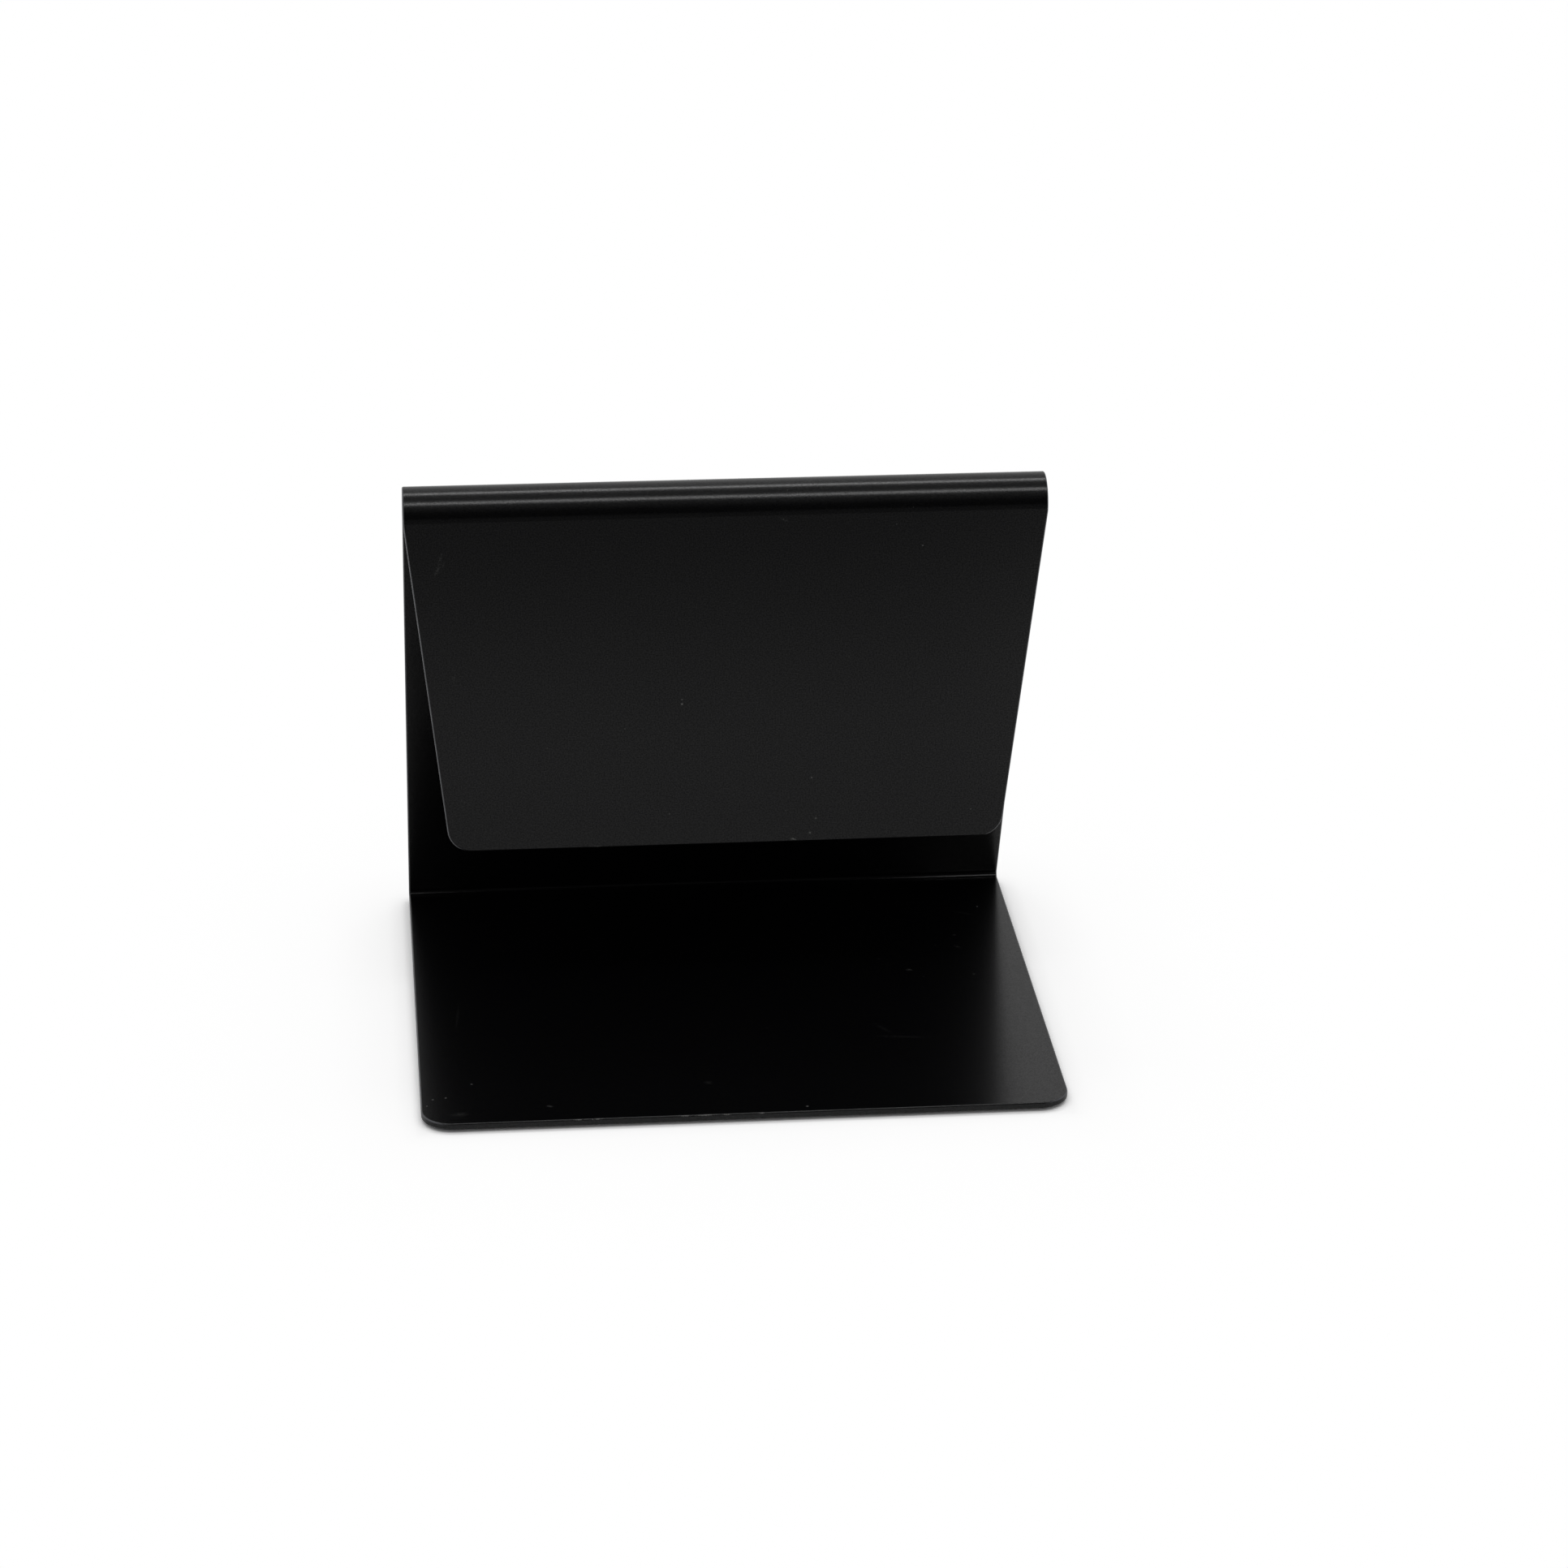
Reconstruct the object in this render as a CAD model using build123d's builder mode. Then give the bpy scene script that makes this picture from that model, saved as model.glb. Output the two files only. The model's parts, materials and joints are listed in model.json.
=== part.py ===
from build123d import *
from math import cos, isclose, radians, sin, tan
import os

# Folded sheet stand that carries magnetic separator blocks on its front flap. One steel sheet is
# folded up from the base plate, leans forward as the back plate, rolls over at the top and hangs
# down as a plain flat flap, clear of the base. Four thin pads keep the base plate off the bench.
# Millimetres, +Z up, -Y is the user's side, and the origin is the middle of the footprint on the
# bench.

# Whole stand
width = 210.0
stand_depth = 181.0
stand_height = 185.0

# Sheet, with its coat of powder
sheet_thickness = 2.2
edge_radius = 0.5
base_corner_radius = 10.0

# Rear fold and back plate
fold_inside_radius = 1.2
back_lean = 23.7

# Roll over the top
roll_inside_radius = 7.0

# Flap, straight down from the roll, a little narrower at its free end
flap_length = 116.0
flap_side_taper = 13.0
flap_corner_radius = 8.0
shoulder_drop = 1.0
shoulder_radius = 6.0

# Pads under the base plate, one near each corner; the insets are from its rims to a pad's centre
pad_diameter = 16.0
pad_thickness = 1.1
pad_edge_radius = 0.3
pad_side_inset = 19.0
pad_front_inset = 19.0
pad_rear_inset = 19.0

# Where the bends lie. The sheet's middle surface is what is drawn, so each bend's drawn radius is
# its inside radius and half the sheet.
half_sheet = sheet_thickness / 2
lean = radians(back_lean)
fold_turn = 90 + back_lean
roll_turn = 180 - back_lean
front_y = -stand_depth / 2
fold_y = stand_depth / 2 - sheet_thickness - fold_inside_radius
fold_corner_y = fold_y + fold_inside_radius * tan(radians(fold_turn) / 2)
base_middle_z = pad_thickness + half_sheet
base_top_z = pad_thickness + sheet_thickness
roll_radius = roll_inside_radius + half_sheet
roll_z = stand_height - roll_radius - half_sheet
rise_to_roll = roll_z - base_top_z
roll_y = fold_corner_y - (roll_inside_radius + rise_to_roll * sin(lean)) / cos(lean)
flap_back_y = roll_y - roll_inside_radius
flap_end_z = roll_z - flap_length
flap_end_half_width = width / 2 - flap_side_taper

with BuildPart() as stand:
    # Side view of the base plate, the fold, the back plate and the roll, as wide as the sheet
    with BuildSketch(Plane.YZ):
        with BuildLine():
            base_run = Line((front_y, base_middle_z), (fold_y, base_middle_z))
            fold = JernArc(base_run @ 1, base_run % 1, fold_inside_radius + half_sheet, fold_turn)
            roll_start = (roll_y + roll_radius * cos(lean), roll_z + roll_radius * sin(lean))
            back_run = Line(fold @ 1, roll_start)
            JernArc(back_run @ 1, back_run % 1, roll_radius, roll_turn)
        trace(line_width=sheet_thickness)
    extrude(amount=width / 2, both=True)

    # Flap: full width at the roll, then tapered on both sides down to two rounded corners
    with BuildSketch(Plane.XZ.offset(-flap_back_y)):
        with BuildLine():
            flap_rim = FilletPolyline(
                (-width / 2, roll_z),
                (-width / 2, roll_z - shoulder_drop),
                (-flap_end_half_width, flap_end_z),
                (flap_end_half_width, flap_end_z),
                (width / 2, roll_z - shoulder_drop),
                (width / 2, roll_z),
                radius=(shoulder_radius, flap_corner_radius, flap_corner_radius, shoulder_radius),
            )
            Line(flap_rim @ 1, flap_rim @ 0)
        make_face()
    extrude(amount=sheet_thickness)

    # The base plate's two front corners are the lowest upright edges
    front_corners = stand.edges().filter_by(Axis.Z).group_by(Axis.Z)[0]
    fillet(front_corners, base_corner_radius)

    # The coat rounds both rims of the cut sheet. The other edges are left: the lines where a bend
    # begins, right across the sheet, and the short ones through its thickness.
    bend_lines = stand.edges().filter_by(Axis.X).filter_by(lambda edge: isclose(edge.length, width))
    through_sheet = stand.edges().filter_by(lambda edge: isclose(edge.length, sheet_thickness))
    fillet(stand.edges() - bend_lines - through_sheet, edge_radius)

stand.part.label = "stand"
os.makedirs("parts", exist_ok=True)
export_step(stand.part, "parts/stand.step")

# The pads are thin rubber discs, rounded where they meet the bench
pad_x = width / 2 - pad_side_inset
rows = (("front", front_y + pad_front_inset), ("rear", stand_depth / 2 - pad_rear_inset))
for end, row_y in rows:
    for side, column_x in (("left", -pad_x), ("right", pad_x)):
        with BuildPart() as pad:
            with BuildSketch():
                with Locations((column_x, row_y)):
                    Circle(pad_diameter / 2)
            extrude(amount=pad_thickness)
            fillet(pad.edges().group_by(Axis.Z)[0], pad_edge_radius)
        pad.part.label = f"{end}_{side}_pad"
        export_step(pad.part, f"parts/{end}_{side}_pad.step")
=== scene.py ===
import json
from math import cos, pi, radians, sin

import bpy
from mathutils import Matrix, Vector


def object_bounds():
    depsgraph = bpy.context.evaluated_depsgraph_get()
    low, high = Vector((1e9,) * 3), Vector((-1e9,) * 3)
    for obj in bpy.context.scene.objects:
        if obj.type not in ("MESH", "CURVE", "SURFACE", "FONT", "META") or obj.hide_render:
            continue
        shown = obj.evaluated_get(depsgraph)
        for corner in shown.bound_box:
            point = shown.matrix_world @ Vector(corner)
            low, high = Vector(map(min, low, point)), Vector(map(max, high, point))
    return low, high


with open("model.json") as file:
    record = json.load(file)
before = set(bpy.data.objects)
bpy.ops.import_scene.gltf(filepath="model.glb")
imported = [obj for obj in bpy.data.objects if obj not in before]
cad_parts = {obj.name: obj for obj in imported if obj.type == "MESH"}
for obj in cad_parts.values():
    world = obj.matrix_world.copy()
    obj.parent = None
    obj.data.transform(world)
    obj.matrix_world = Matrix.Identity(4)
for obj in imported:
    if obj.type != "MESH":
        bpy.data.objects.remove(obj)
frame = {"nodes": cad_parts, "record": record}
cadLow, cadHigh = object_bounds()
print("frame loaded:", sorted(frame["nodes"]))

mm = 0.001
mounts = {mount["name"]: mount["pos_m"] for mount in frame["record"]["mounts"]}
flapFront = mounts["flap_face"][1]  # the plane of the flap's face, along Y
baseTop = mounts["base_top"][2]  # the plane of the base plate's top, along Z


def hexToLinear(code):
    # sRGB hex to linear RGBA: below 0.04045 a straight line, above it a power of 2.4
    parts = [int(code[i:i + 2], 16) / 255 for i in (1, 3, 5)]
    return [c / 12.92 if c <= 0.04045 else ((c + 0.055) / 1.055) ** 2.4 for c in parts] + [1.0]


def addNode(tree, kind, settings=None, inputs=None):
    # settings are the node's own attributes; an input takes a value, or a socket that it is linked to
    node = tree.nodes.new(kind)
    for name, value in (settings or {}).items():
        setattr(node, name, value)
    for name, value in (inputs or {}).items():
        if isinstance(value, bpy.types.NodeSocket):
            tree.links.new(value, node.inputs[name])
        else:
            node.inputs[name].default_value = value
    return node


def newMaterial(name):
    material = bpy.data.materials.new(name)
    material.use_nodes = True
    material.node_tree.nodes.clear()
    return material, material.node_tree


# Powder coat on the folded sheet
coat = {
    "black": "#040405",
    "roughness": 0.2,
    "ior": 1.5,
    "grainSize": 0.9 * mm,  # the real orange peel and pits are finer, and would not show
    "grainHeight": 0.004 * mm,
    "pitSize": 0.45 * mm,
    "pitNoise": (0.3, 0.7),
    "pitSheen": (0.3, 0.7),  # specular level in a pit and beside it
    # the lighter grey on the side rims is a painted highlight, broken into patches
    "rubbed": "#5a5b5f",
    "rubLength": 6.0 * mm,
    "rubNoise": (0.3, 0.6),
    "rubShare": (0.5, 0.85),
    "rimTurn": (0.1, 0.4),  # how far sideways a rim's normal turns
    "rimLean": (0.08, 0.2),  # how far it still leans out of its face
    "baseFade": 0.3 * mm,
    "dust": "#a3a3a0",
    "dustSpacing": 7.0 * mm,
    "dustSize": 0.3 * mm,
    "dustCore": 0.4,  # the share of a speck's radius that is at full strength
    "dustChance": (0.4, 1.0),
    "dustShare": 0.12,
    "crumbSize": 0.5 * mm,
    "crumbNoise": (0.38, 0.6),
    "groupSize": 9,
}

# Marks in the coat, in millimetres. A scuff has the two coordinates of its middle, its half length and
# half width, its tilt in degrees and the share of dust grey in its middle. A speck has its middle,
# radius and share. A chip on the base plate's front arris has its middle along X and its half length.
wear = {
    "flapScuffs": [
        (-94.4, 159.6, 2.6, 0.7, 65, 0.1),
        (-93.4, 163.2, 3.4, 0.6, 78, 0.08),
        (-92.4, 161.5, 2.0, 0.4, 80, 0.06),
        (-89.6, 122.0, 2.0, 0.5, 80, 0.06),
        (-86.3, 77.4, 2.8, 0.35, -30, 0.06),
        (18.2, 174.3, 2.0, 0.5, -25, 0.09),
        (22.2, 60.8, 1.4, 0.5, -12, 0.5),
        (-43.5, 60.4, 3.0, 0.35, 0, 0.16),
    ],
    "baseScuffs": [
        (88.8, 57.1, 6.0, 0.6, -25, 0.03),
        (83.2, 29.8, 1.8, 0.9, -45, 0.07),
        (64.3, 12.3, 1.4, 1.0, -20, 0.11),
        (50.0, -32.0, 6.0, 1.2, -58, 0.02),
        (56.0, -39.0, 11.0, 1.1, -8, 0.025),
        (-11.2, -67.7, 1.9, 1.6, 0, 0.035),
        (-91.0, -12.0, 13.0, 0.7, 85, 0.02),
        (-92.7, -83.9, 3.6, 1.8, 6, 0.06),
        (-63.5, -80.4, 1.4, 0.8, -20, 0.11),
    ],
    "flapSpecks": [
        (-14.9, 110.6, 0.5, 0.45),
        (-14.9, 112.2, 0.35, 0.3),
        (63.9, 164.1, 0.35, 0.3),
        (28.3, 82.9, 0.4, 0.35),
        (29.8, 68.1, 0.45, 0.3),
        (27.9, 62.9, 0.5, 0.35),
        (-59.5, 96.3, 0.3, 0.2),
        (-33.8, 102.4, 0.3, 0.2),
        (-19.1, 71.3, 0.3, 0.25),
        (81.9, 69.7, 0.35, 0.25),
    ],
    "baseSpecks": [
        (94.5, 62.1, 0.5, 0.3),
        (83.4, 39.2, 0.6, 0.1),
        (86.0, 7.3, 0.6, 0.12),
        (-88.1, -62.7, 0.55, 0.2),
        (19.3, -87.0, 0.6, 0.25),
        (-101.0, -72.8, 0.5, 0.3),
        (-96.8, -71.9, 0.5, 0.3),
        (-103.0, -77.2, 0.4, 0.3),
    ],
    "arrisChips": [(-54.9, 1.8), (-49.5, 2.8), (-20.5, 2.4), (-14.0, 3.8), (-7.0, 1.8), (4.0, 1.4)],
    "chipHalfWidth": 0.3,
    "chipShare": 0.5,
    "chipInset": 0.1,
    "chipDrop": 0.15,
    "depth": 1.0,
}


def placedMarks():
    # each mark as (middle, half sizes, turn, peak) in metres, first those that crumble, then the specks
    deep = wear["depth"]
    flapY, topZ = flapFront / mm, baseTop / mm
    chip = wear["chipHalfWidth"]
    arrisY, arrisZ = cadLow[1] / mm + wear["chipInset"], topZ - wear["chipDrop"]
    scuffs = [
        ((x, flapY, z), (long, deep, wide), (0, -radians(tilt), 0), peak)
        for x, z, long, wide, tilt, peak in wear["flapScuffs"]
    ] + [
        ((x, y, topZ), (long, wide, deep), (0, 0, radians(tilt)), peak)
        for x, y, long, wide, tilt, peak in wear["baseScuffs"]
    ] + [
        ((x, arrisY, arrisZ), (long, chip, chip), (0, 0, 0), wear["chipShare"])
        for x, long in wear["arrisChips"]
    ]
    specks = [
        ((x, flapY, z), (size, size, size), (0, 0, 0), peak) for x, z, size, peak in wear["flapSpecks"]
    ] + [
        ((x, y, topZ), (size, size, size), (0, 0, 0), peak) for x, y, size, peak in wear["baseSpecks"]
    ]
    return [
        [(Vector(middle) * mm, Vector(halfSizes) * mm, turn, peak) for middle, halfSizes, turn, peak in marks]
        for marks in (scuffs, specks)
    ]


def markShare(tree, place, marks):
    # share = peak times (1 - distance from the middle), where 1 is the distance of the mark's rim;
    # where marks overlap, the greater share counts
    total = None
    for middle, halfSizes, turn, peak in marks:
        local = addNode(
            tree,
            "ShaderNodeMapping",
            {"vector_type": "TEXTURE"},
            {"Vector": place, "Location": middle, "Rotation": turn, "Scale": halfSizes},
        )
        away = addNode(tree, "ShaderNodeVectorMath", {"operation": "LENGTH"}, {0: local.outputs["Vector"]})
        share = addNode(
            tree,
            "ShaderNodeMath",
            {"operation": "MULTIPLY_ADD", "use_clamp": True},
            {0: away.outputs["Value"], 1: -peak, 2: peak},
        ).outputs["Value"]
        if total is not None:
            greater = addNode(tree, "ShaderNodeMath", {"operation": "MAXIMUM"}, {0: total, 1: share})
            share = greater.outputs["Value"]
        total = share
    return total


def groupShares(tree, place, marks):
    # in groups, because one long chain of marks is more than the renderer's shader stack holds
    size = coat["groupSize"]
    return [markShare(tree, place, marks[first:first + size]) for first in range(0, len(marks), size)]


def paintedRimHighlight(tree, place):
    # Side rims, between a face and a cut edge, are painted lighter grey here and there, as a painted
    # highlight. A rim leans out of its
    # face: along Y in the flap and back plate, along Z in the base plate.
    normal = addNode(tree, "ShaderNodeNewGeometry").outputs["Normal"]
    facing = addNode(tree, "ShaderNodeSeparateXYZ", {}, {"Vector": normal})
    sideways, along, upward = (
        addNode(tree, "ShaderNodeMath", {"operation": "ABSOLUTE"}, {0: facing.outputs[axis]}).outputs["Value"]
        for axis in "XYZ"
    )
    height = addNode(tree, "ShaderNodeSeparateXYZ", {}, {"Vector": place})
    overBase = addNode(
        tree,
        "ShaderNodeMapRange",
        {},
        {"Value": height.outputs["Z"], "From Min": baseTop, "From Max": baseTop + coat["baseFade"]},
    )
    out = addNode(tree, "ShaderNodeMix", {}, {0: overBase.outputs["Result"], 2: upward, 3: along})
    leanFrom, leanTo = coat["rimLean"]
    leaning = addNode(
        tree, "ShaderNodeMapRange", {}, {"Value": out.outputs[0], "From Min": leanFrom, "From Max": leanTo}
    )
    turnFrom, turnTo = coat["rimTurn"]
    leavesFace = addNode(
        tree,
        "ShaderNodeMapRange",
        {"interpolation_type": "SMOOTHSTEP"},
        {"Value": sideways, "From Min": turnFrom, "From Max": turnTo},
    )
    rim = addNode(
        tree,
        "ShaderNodeMath",
        {"operation": "MULTIPLY"},
        {0: leavesFace.outputs["Result"], 1: leaning.outputs["Result"]},
    )
    patches = addNode(
        tree, "ShaderNodeTexNoise", {}, {"Vector": place, "Scale": 1 / coat["rubLength"], "Detail": 3.0}
    )
    (noiseFrom, noiseTo), (least, most) = coat["rubNoise"], coat["rubShare"]
    patchy = addNode(
        tree,
        "ShaderNodeMapRange",
        {},
        {
            "Value": patches.outputs["Fac"],
            "From Min": noiseFrom,
            "From Max": noiseTo,
            "To Min": least,
            "To Max": most,
        },
    )
    return addNode(
        tree,
        "ShaderNodeMath",
        {"operation": "MULTIPLY"},
        {0: rim.outputs["Value"], 1: patchy.outputs["Result"]},
    ).outputs["Value"]


def scatteredDust(tree, place):
    # One speck in each cell of a 3-D scatter, pale in the cells whose chance is high
    cells = addNode(tree, "ShaderNodeTexVoronoi", {}, {"Vector": place, "Scale": 1 / coat["dustSpacing"]})
    size = coat["dustSize"] / coat["dustSpacing"]
    speck = addNode(
        tree,
        "ShaderNodeMapRange",
        {},
        {"Value": cells.outputs["Distance"], "From Min": size, "From Max": size * coat["dustCore"]},
    )
    chance = addNode(tree, "ShaderNodeSeparateColor", {}, {"Color": cells.outputs["Color"]})
    chanceFrom, chanceTo = coat["dustChance"]
    chosen = addNode(
        tree,
        "ShaderNodeMapRange",
        {},
        {
            "Value": chance.outputs["Red"],
            "From Min": chanceFrom,
            "From Max": chanceTo,
            "To Max": coat["dustShare"],
        },
    )
    return addNode(
        tree,
        "ShaderNodeMath",
        {"operation": "MULTIPLY"},
        {0: speck.outputs["Result"], 1: chosen.outputs["Result"]},
    ).outputs["Value"]


def powderCoatedSteel():
    # Satin black polyester powder coat, sprayed dry and baked on steel: a near-black body under a
    # soft, even sheen, with a fine orange peel and pits that break the sheen up
    material, tree = newMaterial("satinBlackPowderCoatedSteel")
    place = addNode(tree, "ShaderNodeTexCoord").outputs["Object"]
    grain = addNode(
        tree, "ShaderNodeTexNoise", {}, {"Vector": place, "Scale": 1 / coat["grainSize"], "Detail": 2.0}
    )
    bump = addNode(
        tree,
        "ShaderNodeBump",
        {},
        {"Height": grain.outputs["Fac"], "Distance": coat["grainHeight"], "Strength": 1.0},
    )
    pits = addNode(
        tree, "ShaderNodeTexNoise", {}, {"Vector": place, "Scale": 1 / coat["pitSize"], "Detail": 1.0}
    )
    (pitFrom, pitTo), (pitSheen, openSheen) = coat["pitNoise"], coat["pitSheen"]
    gloss = addNode(
        tree,
        "ShaderNodeMapRange",
        {},
        {
            "Value": pits.outputs["Fac"],
            "From Min": pitFrom,
            "From Max": pitTo,
            "To Min": pitSheen,
            "To Max": openSheen,
        },
    )
    # the lighter grey on the side rims is a painted highlight
    coatWithRimHighlight = addNode(
        tree,
        "ShaderNodeMix",
        {"data_type": "RGBA"},
        {0: paintedRimHighlight(tree, place), 6: hexToLinear(coat["black"]), 7: hexToLinear(coat["rubbed"])},
    )
    surface = addNode(
        tree,
        "ShaderNodeBsdfPrincipled",
        {},
        {
            "Base Color": coatWithRimHighlight.outputs[2],
            "Roughness": coat["roughness"],
            "IOR": coat["ior"],
            "Specular IOR Level": gloss.outputs["Result"],
            "Normal": bump.outputs["Normal"],
        },
    ).outputs[0]
    dust = addNode(tree, "ShaderNodeBsdfDiffuse", {}, {"Color": hexToLinear(coat["dust"])}).outputs[0]
    crumbs = addNode(
        tree, "ShaderNodeTexNoise", {}, {"Vector": place, "Scale": 1 / coat["crumbSize"], "Detail": 1.0}
    )
    crumbFrom, crumbTo = coat["crumbNoise"]
    crumbled = addNode(
        tree,
        "ShaderNodeMapRange",
        {},
        {"Value": crumbs.outputs["Fac"], "From Min": crumbFrom, "From Max": crumbTo},
    )
    scuffs, specks = placedMarks()
    broken = [
        addNode(tree, "ShaderNodeMath", {"operation": "MULTIPLY"}, {0: share, 1: crumbled.outputs["Result"]})
        for share in groupShares(tree, place, scuffs)
    ]
    layers = [scatteredDust(tree, place)] + [node.outputs["Value"] for node in broken]
    layers += groupShares(tree, place, specks)
    for share in layers:
        surface = addNode(tree, "ShaderNodeMixShader", {}, {0: share, 1: surface, 2: dust}).outputs[0]
    addNode(tree, "ShaderNodeOutputMaterial", {}, {"Surface": surface})
    return material


stand = frame["nodes"]["stand"]
stand.data.materials.clear()
stand.data.materials.append(powderCoatedSteel())
print("stand coated")

# Pads under the base plate
padRubber = {
    "black": "#0b0b0b",
    "roughness": 0.7,
    "ior": 1.52,
    "grainSize": 0.5 * mm,  # the real grain is finer, and would not show
    "grainHeight": 0.01 * mm,
}


def mattRubber():
    # Matt black rubber, die-cut from sheet: dull, with a fine grain that breaks up the light
    material, tree = newMaterial("mattBlackRubber")
    place = addNode(tree, "ShaderNodeTexCoord").outputs["Object"]
    grain = addNode(
        tree, "ShaderNodeTexNoise", {}, {"Vector": place, "Scale": 1 / padRubber["grainSize"], "Detail": 3.0}
    )
    bump = addNode(
        tree,
        "ShaderNodeBump",
        {},
        {"Height": grain.outputs["Fac"], "Distance": padRubber["grainHeight"], "Strength": 1.0},
    )
    surface = addNode(
        tree,
        "ShaderNodeBsdfPrincipled",
        {},
        {
            "Base Color": hexToLinear(padRubber["black"]),
            "Roughness": padRubber["roughness"],
            "IOR": padRubber["ior"],
            "Normal": bump.outputs["Normal"],
        },
    )
    addNode(tree, "ShaderNodeOutputMaterial", {}, {"Surface": surface.outputs["BSDF"]})
    return material


rubber = mattRubber()
for end in ("front", "rear"):
    for side in ("left", "right"):
        pad = frame["nodes"][f"{end}_{side}_pad"]
        pad.data.materials.clear()
        pad.data.materials.append(rubber)
print("pads blackened")

# Floor, far larger than the view. To the camera it is white paper with the stand's shadow close
# round its footprint. In mirrored rays it carries painted light and shade: the coat mirrors it white behind
# and beside the stand and dim on the user's side. Distances are in metres: from the footprint for the share
# of pure white, along Y for the painted tone.
floorSizes = {
    "half": 6.0,
    "paper": 1.3,  # over 1, to come out white under this light
    "other": 0.4,
    "whiteByDistance": {0.0: 0.0, 0.001: 0.12, 0.003: 0.5, 0.008: 0.72, 0.03: 0.9, 0.1: 1.0},
    # painted shade: the floor's tone in mirrored rays, dim on the user's side and lighter behind
    "toneByDepth": {
        -0.6: 0.1, -0.4: 0.2, -0.33: 0.28, -0.25: 0.34, -0.19: 0.33,
        -0.14: 0.29, -0.11: 0.42, 0.0: 0.45, 0.25: 0.7,
    },
    "beside": 1.0,
    "sideFrom": 0.09,
    "sideTo": 0.36,
    "sideFront": -0.6,
    "sideRear": -0.2,
}


def levelRamp(tree, source, levels):
    # a straight line from each level to the next, over the values that they are given at
    low, high = min(levels), max(levels)
    share = addNode(tree, "ShaderNodeMapRange", {}, {"Value": source, "From Min": low, "From Max": high})
    ramp = addNode(tree, "ShaderNodeValToRGB", {}, {"Fac": share.outputs["Result"]})
    stops = ramp.color_ramp.elements
    while len(stops) < len(levels):
        stops.new(1.0)
    for stop, (where, level) in zip(stops, sorted(levels.items())):
        stop.position = (where - low) / (high - low)
        stop.color = [level] * 3 + [1.0]
    return ramp.outputs["Color"]


def shownRays(tree, path):
    # 1 for the rays that show the background: the camera's own, mirrored and seen through
    shown = path.outputs["Is Camera Ray"]
    for kind in ("Is Glossy Ray", "Is Transmission Ray"):
        shown = addNode(
            tree, "ShaderNodeMath", {"operation": "MAXIMUM"}, {0: shown, 1: path.outputs[kind]}
        ).outputs["Value"]
    return shown


def paintedFloorTone(tree, place):
    # painted tone in mirrored rays = depth tone + how far beside and behind the front it is, times what is
    # left to full white
    parts = addNode(tree, "ShaderNodeSeparateXYZ", {}, {"Vector": place})
    aside = addNode(tree, "ShaderNodeMath", {"operation": "ABSOLUTE"}, {0: parts.outputs["X"]})
    depth = levelRamp(tree, parts.outputs["Y"], floorSizes["toneByDepth"])
    side = addNode(
        tree,
        "ShaderNodeMapRange",
        {"interpolation_type": "SMOOTHSTEP"},
        {
            "Value": aside.outputs["Value"],
            "From Min": floorSizes["sideFrom"],
            "From Max": floorSizes["sideTo"],
        },
    )
    rearward = addNode(
        tree,
        "ShaderNodeMapRange",
        {"interpolation_type": "SMOOTHSTEP"},
        {
            "Value": parts.outputs["Y"],
            "From Min": floorSizes["sideFront"],
            "From Max": floorSizes["sideRear"],
        },
    )
    flank = addNode(
        tree,
        "ShaderNodeMath",
        {"operation": "MULTIPLY"},
        {0: side.outputs["Result"], 1: rearward.outputs["Result"]},
    )
    rest = addNode(tree, "ShaderNodeMath", {"operation": "SUBTRACT"}, {0: floorSizes["beside"], 1: depth})
    return addNode(
        tree,
        "ShaderNodeMath",
        {"operation": "MULTIPLY_ADD"},
        {0: flank.outputs["Value"], 1: rest.outputs["Value"], 2: depth},
    ).outputs["Value"]


def footprintDistance(tree, place):
    # length of (each coordinate's size less the stand's half size, where that is above nothing)
    halfSize = ((cadHigh[0] - cadLow[0]) / 2, (cadHigh[1] - cadLow[1]) / 2, 1.0)
    size = addNode(tree, "ShaderNodeVectorMath", {"operation": "ABSOLUTE"}, {0: place})
    past = addNode(
        tree, "ShaderNodeVectorMath", {"operation": "SUBTRACT"}, {0: size.outputs["Vector"], 1: halfSize}
    )
    beyond = addNode(
        tree, "ShaderNodeVectorMath", {"operation": "MAXIMUM"}, {0: past.outputs["Vector"], 1: (0, 0, 0)}
    )
    away = addNode(tree, "ShaderNodeVectorMath", {"operation": "LENGTH"}, {0: beyond.outputs["Vector"]})
    return away.outputs["Value"]


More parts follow.
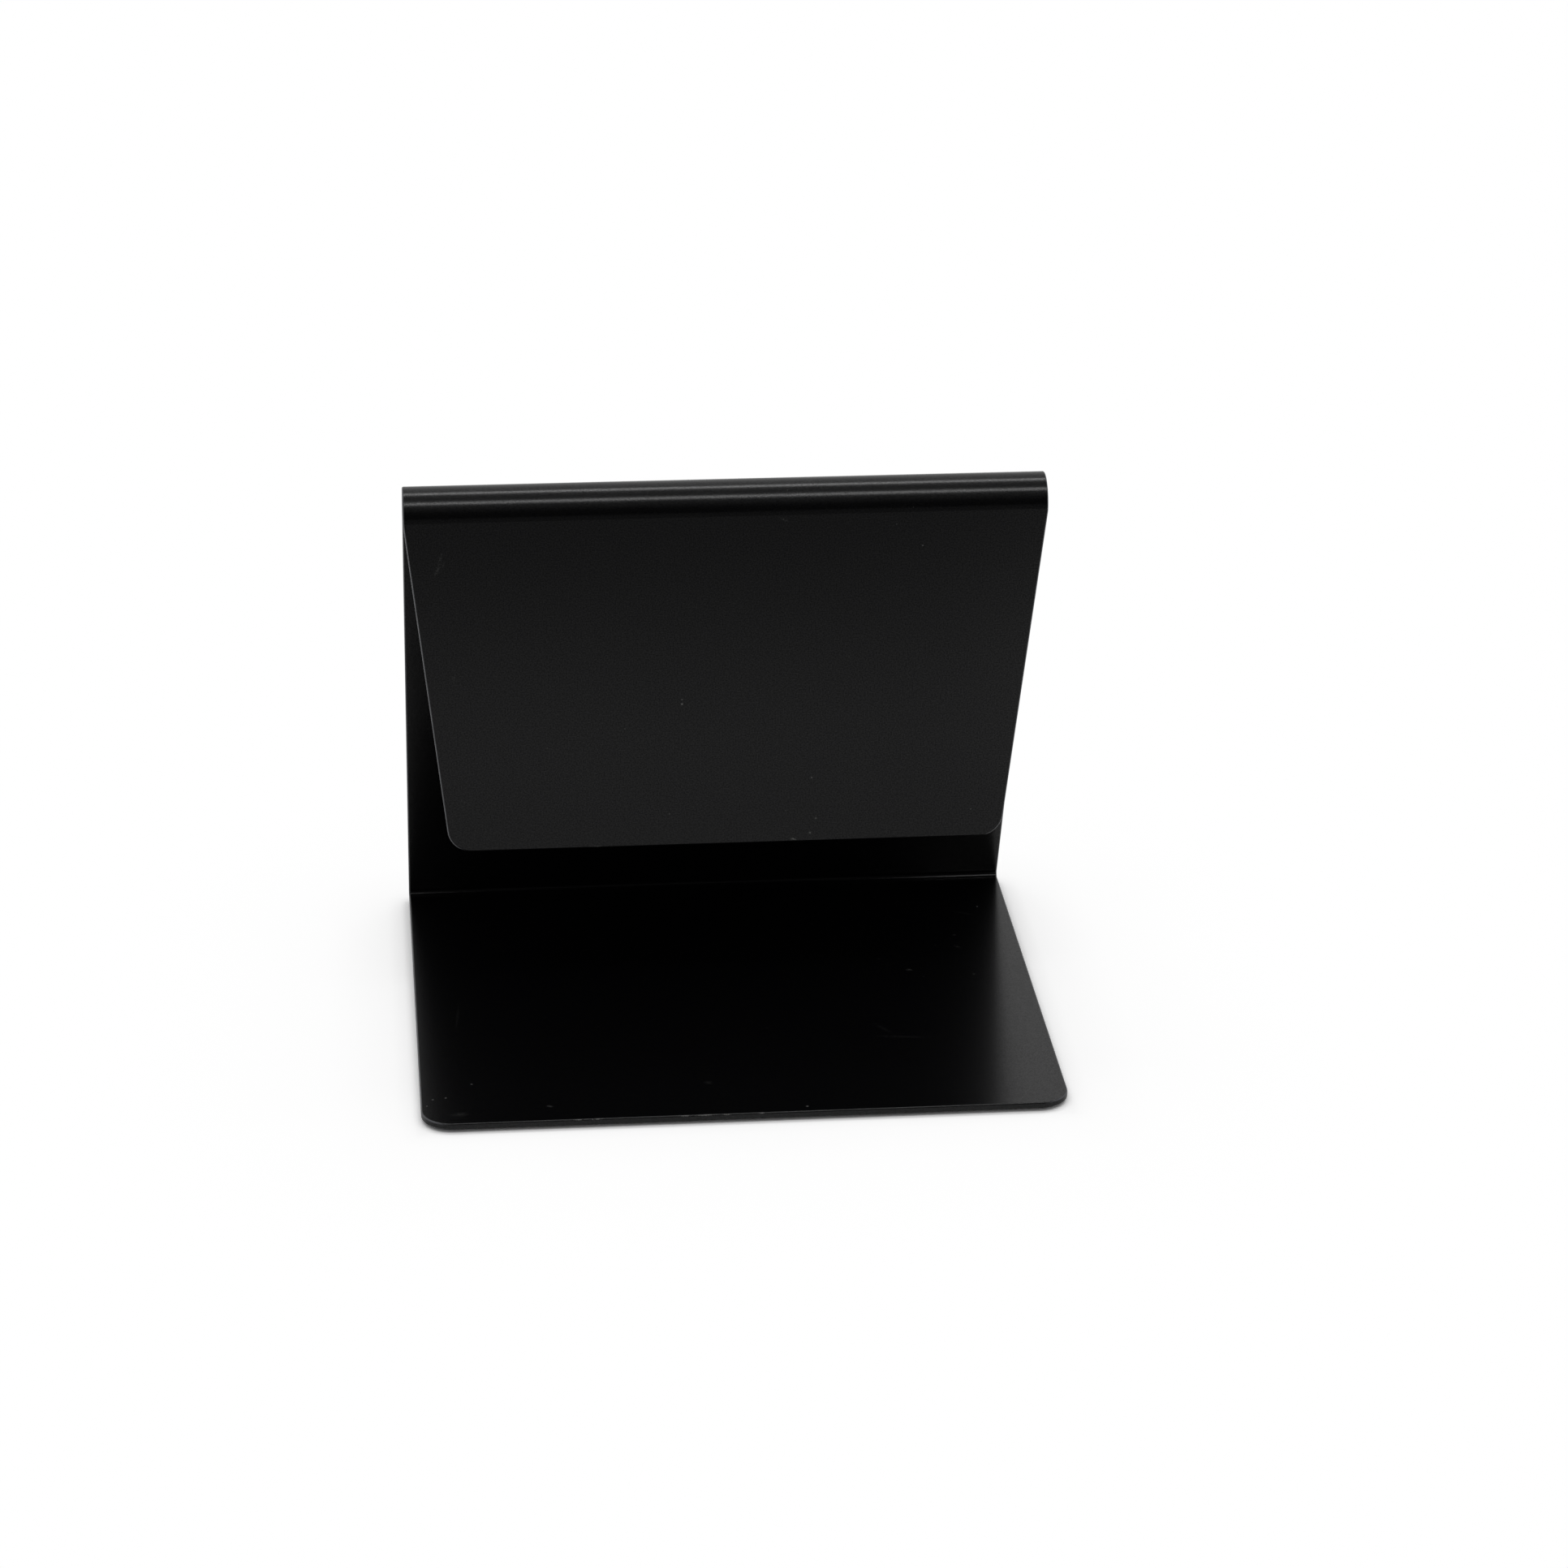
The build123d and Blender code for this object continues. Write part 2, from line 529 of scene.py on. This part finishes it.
def studioFloor():
    half = floorSizes["half"]
    mesh = bpy.data.meshes.new("floor")
    corners = [(-half, -half, 0), (half, -half, 0), (half, half, 0), (-half, half, 0)]
    mesh.from_pydata(corners, [], [(0, 1, 2, 3)])
    floor = bpy.data.objects.new("floor", mesh)
    bpy.context.scene.collection.objects.link(floor)
    material, tree = newMaterial("matWhitePaper")
    place = addNode(tree, "ShaderNodeTexCoord").outputs["Object"]
    path = addNode(tree, "ShaderNodeLightPath")
    # pure white to the camera, the painted light and shade in mirrored rays
    level = addNode(
        tree,
        "ShaderNodeMath",
        {"operation": "MAXIMUM"},
        {0: paintedFloorTone(tree, place), 1: path.outputs["Is Camera Ray"]},
    ).outputs["Value"]
    sheet = addNode(tree, "ShaderNodeMath", {"operation": "MULTIPLY"}, {0: level, 1: floorSizes["paper"]})
    paper = addNode(tree, "ShaderNodeBsdfDiffuse", {}, {"Color": sheet.outputs["Value"]})
    white = addNode(tree, "ShaderNodeEmission", {}, {"Color": level, "Strength": 1.0})
    share = levelRamp(tree, footprintDistance(tree, place), floorSizes["whiteByDistance"])
    seen = addNode(tree, "ShaderNodeMixShader", {}, {0: share, 1: paper.outputs[0], 2: white.outputs[0]})
    other = addNode(tree, "ShaderNodeBsdfDiffuse", {}, {"Color": [floorSizes["other"]] * 3 + [1.0]})
    both = addNode(
        tree, "ShaderNodeMixShader", {}, {0: shownRays(tree, path), 1: other.outputs[0], 2: seen.outputs[0]}
    )
    addNode(tree, "ShaderNodeOutputMaterial", {}, {"Surface": both.outputs[0]})
    mesh.materials.append(material)


studioFloor()

# World: a white room behind the stand, dimmer overhead and dark on the user's side, which the coat
# mirrors. The levels run from straight ahead of the stand (-1) over the zenith (0) to behind it (1).
room = {
    "levels": {-1.0: 0.02, -0.92: 0.03, -0.75: 0.13, -0.4: 0.18, 0.0: 0.24, 0.4: 0.45, 1.0: 0.55},
    "fill": 0.5,
}


def studioWorld():
    world = bpy.data.worlds.new("studio")
    world.use_nodes = True
    tree = world.node_tree
    tree.nodes.clear()
    direction = addNode(tree, "ShaderNodeTexCoord").outputs["Generated"]
    parts = addNode(tree, "ShaderNodeSeparateXYZ", {}, {"Vector": direction})
    path = addNode(tree, "ShaderNodeLightPath")
    level = addNode(
        tree,
        "ShaderNodeMath",
        {"operation": "MAXIMUM"},
        {0: levelRamp(tree, parts.outputs["Y"], room["levels"]), 1: path.outputs["Is Camera Ray"]},
    )
    seen = addNode(tree, "ShaderNodeBackground", {}, {"Color": level.outputs["Value"], "Strength": 1.0})
    fill = addNode(tree, "ShaderNodeBackground", {}, {"Color": (1, 1, 1, 1), "Strength": room["fill"]})
    both = addNode(
        tree, "ShaderNodeMixShader", {}, {0: shownRays(tree, path), 1: fill.outputs[0], 2: seen.outputs[0]}
    )
    addNode(tree, "ShaderNodeOutputWorld", {}, {"Surface": both.outputs[0]})
    bpy.context.scene.world = world


studioWorld()

# Two long soft boxes over the stand
boxes = {
    "target": (0, 0, 0.12),
    "distance": 1.35,
    "width": 0.22,
    "length": 1.9,
    "radiance": 3.0,
    "elevations": {"rear": 110.0, "front": 64.5},
}


def softBoxes():
    for name, elevation in boxes["elevations"].items():
        angle = radians(elevation)
        away = Vector((0, -cos(angle), sin(angle)))
        light = bpy.data.lights.new("softBox_" + name, "AREA")
        light.shape = "RECTANGLE"
        light.size = boxes["length"]
        light.size_y = boxes["width"]
        light.energy = boxes["radiance"] * pi * boxes["length"] * boxes["width"]
        lamp = bpy.data.objects.new(light.name, light)
        lamp.location = Vector(boxes["target"]) + away * boxes["distance"]
        lamp.rotation_euler = away.to_track_quat("Z", "Y").to_euler()
        bpy.context.scene.collection.objects.link(lamp)


softBoxes()
print("lights on")

# Camera: place in metres, angles in degrees, lens in millimetres
shot = {
    "place": (-0.12348, -1.44424, 0.70005),
    "yaw": 5.651,
    "pitch": 23.157,
    "roll": -0.492,
    "lens": 108.727,
    "sensor": 36,
    "clip": (0.01, 50),
}


def takeCamera():
    # forward from the yaw and pitch; right and down turned about it by the roll
    yaw, pitch, roll = (radians(shot[k]) for k in ("yaw", "pitch", "roll"))
    forward = Vector((sin(yaw) * cos(pitch), cos(yaw) * cos(pitch), -sin(pitch)))
    level = Vector((cos(yaw), -sin(yaw), 0))
    down = forward.cross(level)
    right = level * cos(roll) + down * sin(roll)
    lower = down * cos(roll) - level * sin(roll)
    turn = Matrix((right, -lower, -forward)).transposed().to_4x4()
    data = bpy.data.cameras.new("camera")
    data.sensor_width = shot["sensor"]
    data.lens = shot["lens"]
    data.clip_start, data.clip_end = shot["clip"]
    camera = bpy.data.objects.new("camera", data)
    camera.matrix_world = Matrix.Translation(shot["place"]) @ turn
    bpy.context.scene.collection.objects.link(camera)
    bpy.context.scene.camera = camera


takeCamera()
bpy.context.scene.view_settings.view_transform = "Standard"
print("camera set")
